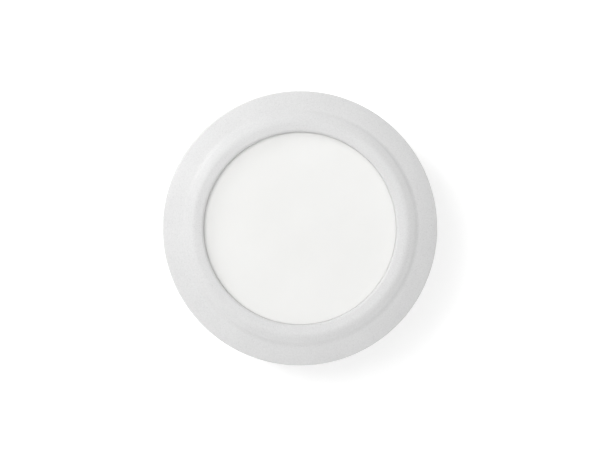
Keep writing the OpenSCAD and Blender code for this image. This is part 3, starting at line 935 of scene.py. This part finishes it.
def stage_material(name, value, see_through_back, lift=0.0):
    """Plain pale paint that may be seen through from behind, so that rear views show the object."""
    m = Nodes(name)
    m.set(Roughness=0.9, Specular_IOR_Level=0.1, Emission_Color=(1, 1, 1, 1), Emission_Strength=lift)
    m.colour(m.ramp(m.noise(0.05, 2), (0.3, value * 0.99), (0.7, value)))
    if see_through_back:
        backface = m.tree.nodes.new("ShaderNodeNewGeometry").outputs["Backfacing"]
        glass = m.tree.nodes.new("ShaderNodeBsdfTransparent")
        chooser = m.tree.nodes.new("ShaderNodeMixShader")
        m.join(backface, chooser.inputs[0])
        m.join(m.shader.outputs[0], chooser.inputs[1])
        m.join(glass.outputs[0], chooser.inputs[2])
        m.join(chooser.outputs[0], m.output.inputs["Surface"])
    return m.material


STAGE_REACH = 2  # how far the wall and the floor reach, in metres


def make_floor(material):
    """A floor well below the object, outside the main view."""
    level, reach = -0.5, STAGE_REACH
    sides = ((-reach, -reach), (reach, -reach), (reach, reach), (-reach, reach))
    corners = [(x, y, level) for x, y in sides]
    mesh = bpy.data.meshes.new("stage_floor")
    mesh.from_pydata(corners, [], [(0, 1, 2, 3)])
    mesh.materials.append(material)
    add_object("stage_floor", mesh)


def make_wall(material):
    """A wall that is open behind the base, where only a rear view could see it."""
    gap, hole_r = 0.2 * MM, BASE_R - 0.4 * MM
    steps = 128
    mesh = bpy.data.meshes.new("stage_wall")
    corners = []
    for i in range(steps):
        a = 2 * math.pi * i / steps
        corners.append((hole_r * math.cos(a), gap, hole_r * math.sin(a)))
        stretch = STAGE_REACH / max(abs(math.cos(a)), abs(math.sin(a)))
        corners.append((stretch * math.cos(a), gap, stretch * math.sin(a)))
    count = 2 * steps
    faces = [(i, i + 1, (i + 3) % count, (i + 2) % count) for i in range(0, count, 2)]
    mesh.from_pydata(corners, [], faces)
    mesh.materials.append(material)
    add_object("stage_wall", mesh)


def make_stage():
    make_wall(stage_material("wall_paint", 0.94, see_through_back=True, lift=0.26))
    make_floor(stage_material("floor_paint", 0.85, see_through_back=False))


def softbox(name, azimuth, tilt, distance, size, power):
    """An area light aimed at the ring: azimuth runs round the view, tilt is the angle off its axis."""
    target = Vector((0, -CREST, 0))
    a, t = math.radians(azimuth), math.radians(tilt)
    way = Vector((math.sin(t) * math.cos(a), -math.cos(t), math.sin(t) * math.sin(a)))
    light = bpy.data.lights.new(name, "AREA")
    light.shape = "RECTANGLE"
    light.size, light.size_y = size
    light.energy = power
    lamp = bpy.data.objects.new(name, light)
    bpy.context.scene.collection.objects.link(lamp)
    lamp.location = target + way * distance
    lamp.rotation_euler = (-way).to_track_quat("-Z", "Z").to_euler()


def make_light():
    """Soft light from the front and the back, almost none from the sides, and two soft boxes."""
    front_glow, side_glow, back_glow, backdrop = 1.175, 0.03, 0.8, 0.9
    world = bpy.data.worlds.new("studio")
    world.use_nodes = True
    tree = world.node_tree
    tree.nodes["Background"].inputs["Color"].default_value = (1, 1, 1, 1)
    way = tree.nodes.new("ShaderNodeTexCoord").outputs["Generated"]
    parts = tree.nodes.new("ShaderNodeSeparateXYZ")
    tree.links.new(way, parts.inputs[0])
    ramp = tree.nodes.new("ShaderNodeMapRange")
    ramp.inputs["From Min"].default_value = -1
    tree.links.new(parts.outputs["Y"], ramp.inputs["Value"])
    level = tree.nodes.new("ShaderNodeValToRGB")
    front, side = level.color_ramp.elements
    front.position, front.color = 0.0, (front_glow, front_glow, front_glow, 1)
    side.position, side.color = 0.5, (side_glow, side_glow, side_glow, 1)
    back = level.color_ramp.elements.new(1.0)
    back.color = (back_glow, back_glow, back_glow, 1)
    tree.links.new(ramp.outputs[0], level.inputs[0])
    shown = tree.nodes.new("ShaderNodeMix")
    shown.inputs["B"].default_value = backdrop
    path = tree.nodes.new("ShaderNodeLightPath")
    tree.links.new(path.outputs["Is Camera Ray"], shown.inputs["Factor"])
    tree.links.new(level.outputs["Color"], shown.inputs["A"])
    tree.links.new(shown.outputs["Result"], tree.nodes["Background"].inputs["Strength"])
    bpy.context.scene.world = world
    softbox("key_light", azimuth=143, tilt=72, distance=0.8, size=(0.20, 0.20), power=1.6)
    softbox("front_light", azimuth=150, tilt=30, distance=0.8, size=(0.3, 0.3), power=1.3)
    view = bpy.context.scene.view_settings
    view.view_transform = "Standard"
    view.look = "None"
    view.exposure = 0.0


def make_camera():
    """Straight on to the ring; share is how much of the picture's width it spans."""
    focal, sensor = 100, 36
    share = 0.4578
    rim_level = RING_BACK + 10.5 * MM  # the front of the side wall, which is the ring's outline
    distance = focal / sensor * 2 * RING_R / share
    camera = bpy.data.cameras.new("camera")
    camera.lens = focal
    camera.sensor_width = sensor
    camera.shift_y = 0.0055
    camera.clip_start = 0.01
    viewer = bpy.data.objects.new("camera", camera)
    bpy.context.scene.collection.objects.link(viewer)
    viewer.location = (0, -rim_level - distance, 0)
    viewer.rotation_euler = (math.radians(90), 0, 0)
    bpy.context.scene.camera = viewer


make_camera()
make_stage()
make_light()
finish_cad_nodes()
make_ring()
make_lens()
make_wall_plate()
make_base_cover()
make_tabs()
make_level()
make_level_marks()
make_rear_housing()
make_chassis_screws()
make_return_springs()
soften_the_rest()
